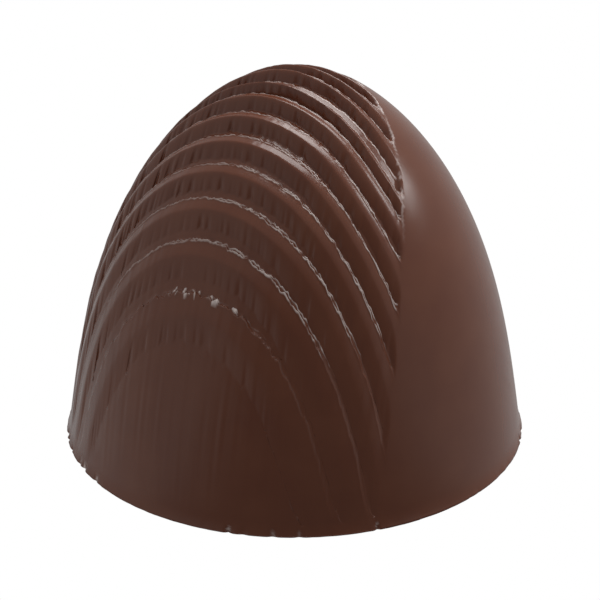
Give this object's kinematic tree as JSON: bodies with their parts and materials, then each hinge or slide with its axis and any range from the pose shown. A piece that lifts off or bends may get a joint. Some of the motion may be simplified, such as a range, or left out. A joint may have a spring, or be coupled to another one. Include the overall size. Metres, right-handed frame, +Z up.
{
  "type": "chocolate praline",
  "caption": "Tall domed moulded chocolate praline with a field of straight nested ripple ridges on one side and a smooth dome on the other, standing on a flat round base",
  "frame": {"origin": "centre of the flat round base, on the surface that the praline stands on", "axes": "+Z up through the crown, +X along the ridges, which run parallel to X, and -Y the rippled front"},
  "size_m": [0.028, 0.028, 0.0229],
  "materials": {
    "chocolate": "tempered chocolate released from a polished mould: warm mid-to-dark brown, glossy with soft highlights, a little duller and finely streaked at the foot of each ridge"
  },
  "bodies": {
    "root": {"praline": "chocolate"}
  },
  "joints": []
}
